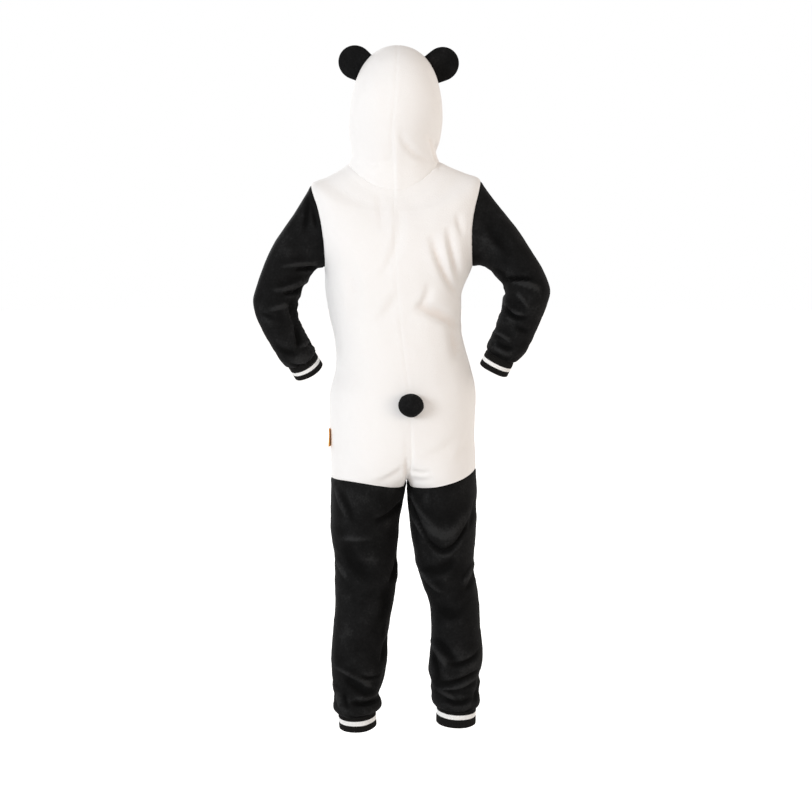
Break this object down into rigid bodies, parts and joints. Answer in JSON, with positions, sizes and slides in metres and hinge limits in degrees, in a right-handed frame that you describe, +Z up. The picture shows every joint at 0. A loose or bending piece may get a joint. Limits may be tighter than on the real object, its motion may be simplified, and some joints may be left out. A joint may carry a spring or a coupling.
{
  "type": "panda onesie",
  "caption": "Child's hooded fleece one-piece, worn and hollow: white body and hood with stuffed round ears and tail, black sleeves and legs, striped rib cuffs, front zip.",
  "frame": {"origin": "the middle of the neck, level with the shoulder tips, where the wearer's shoulders carry the garment", "axes": "+Z up, -Y to the front where the zip is, +X to the wearer's left"},
  "size_m": [0.534, 0.2338, 1.2534],
  "materials": {
    "white_fleece": "short-nap white fleece",
    "black_fleece": "short-nap black fleece with a soft sheen",
    "black_rib": "black rib knit with one white stripe",
    "white_tape": "woven zip tape with moulded teeth",
    "zip_metal": "satin",
    "orange_ribbon": "plain woven ribbon"
  },
  "bodies": {
    "garment": {"back_left": "white_fleece", "front_left": "white_fleece", "hood_left": "white_fleece", "sleeve_left": "black_fleece", "leg_back_left": "black_fleece", "leg_front_left": "black_fleece", "wrist_cuff_left": "black_rib", "ankle_cuff_left": "black_rib", "ear_back_left": "black_fleece", "ear_front_left": "black_fleece", "zip_tape_left": "white_tape", "back_right": "white_fleece", "front_right": "white_fleece", "hood_right": "white_fleece", "sleeve_right": "black_fleece", "leg_back_right": "black_fleece", "leg_front_right": "black_fleece", "wrist_cuff_right": "black_rib", "ankle_cuff_right": "black_rib", "ear_back_right": "black_fleece", "ear_front_right": "black_fleece", "zip_tape_right": "white_tape", "tail": "black_fleece", "zip_chain": "white_tape", "zip_slider": "zip_metal", "side_label": "orange_ribbon"},
    "zip_pull": {"zip_pull": "zip_metal"}
  },
  "joints": [
    {"name": "pull_hinge", "type": "hinge", "parent": "garment", "child": "zip_pull", "pos_m": [0.00504, -0.08177, -0.06591], "axis": [-1, 0, 0], "range_deg": [0, 110]}
  ]
}
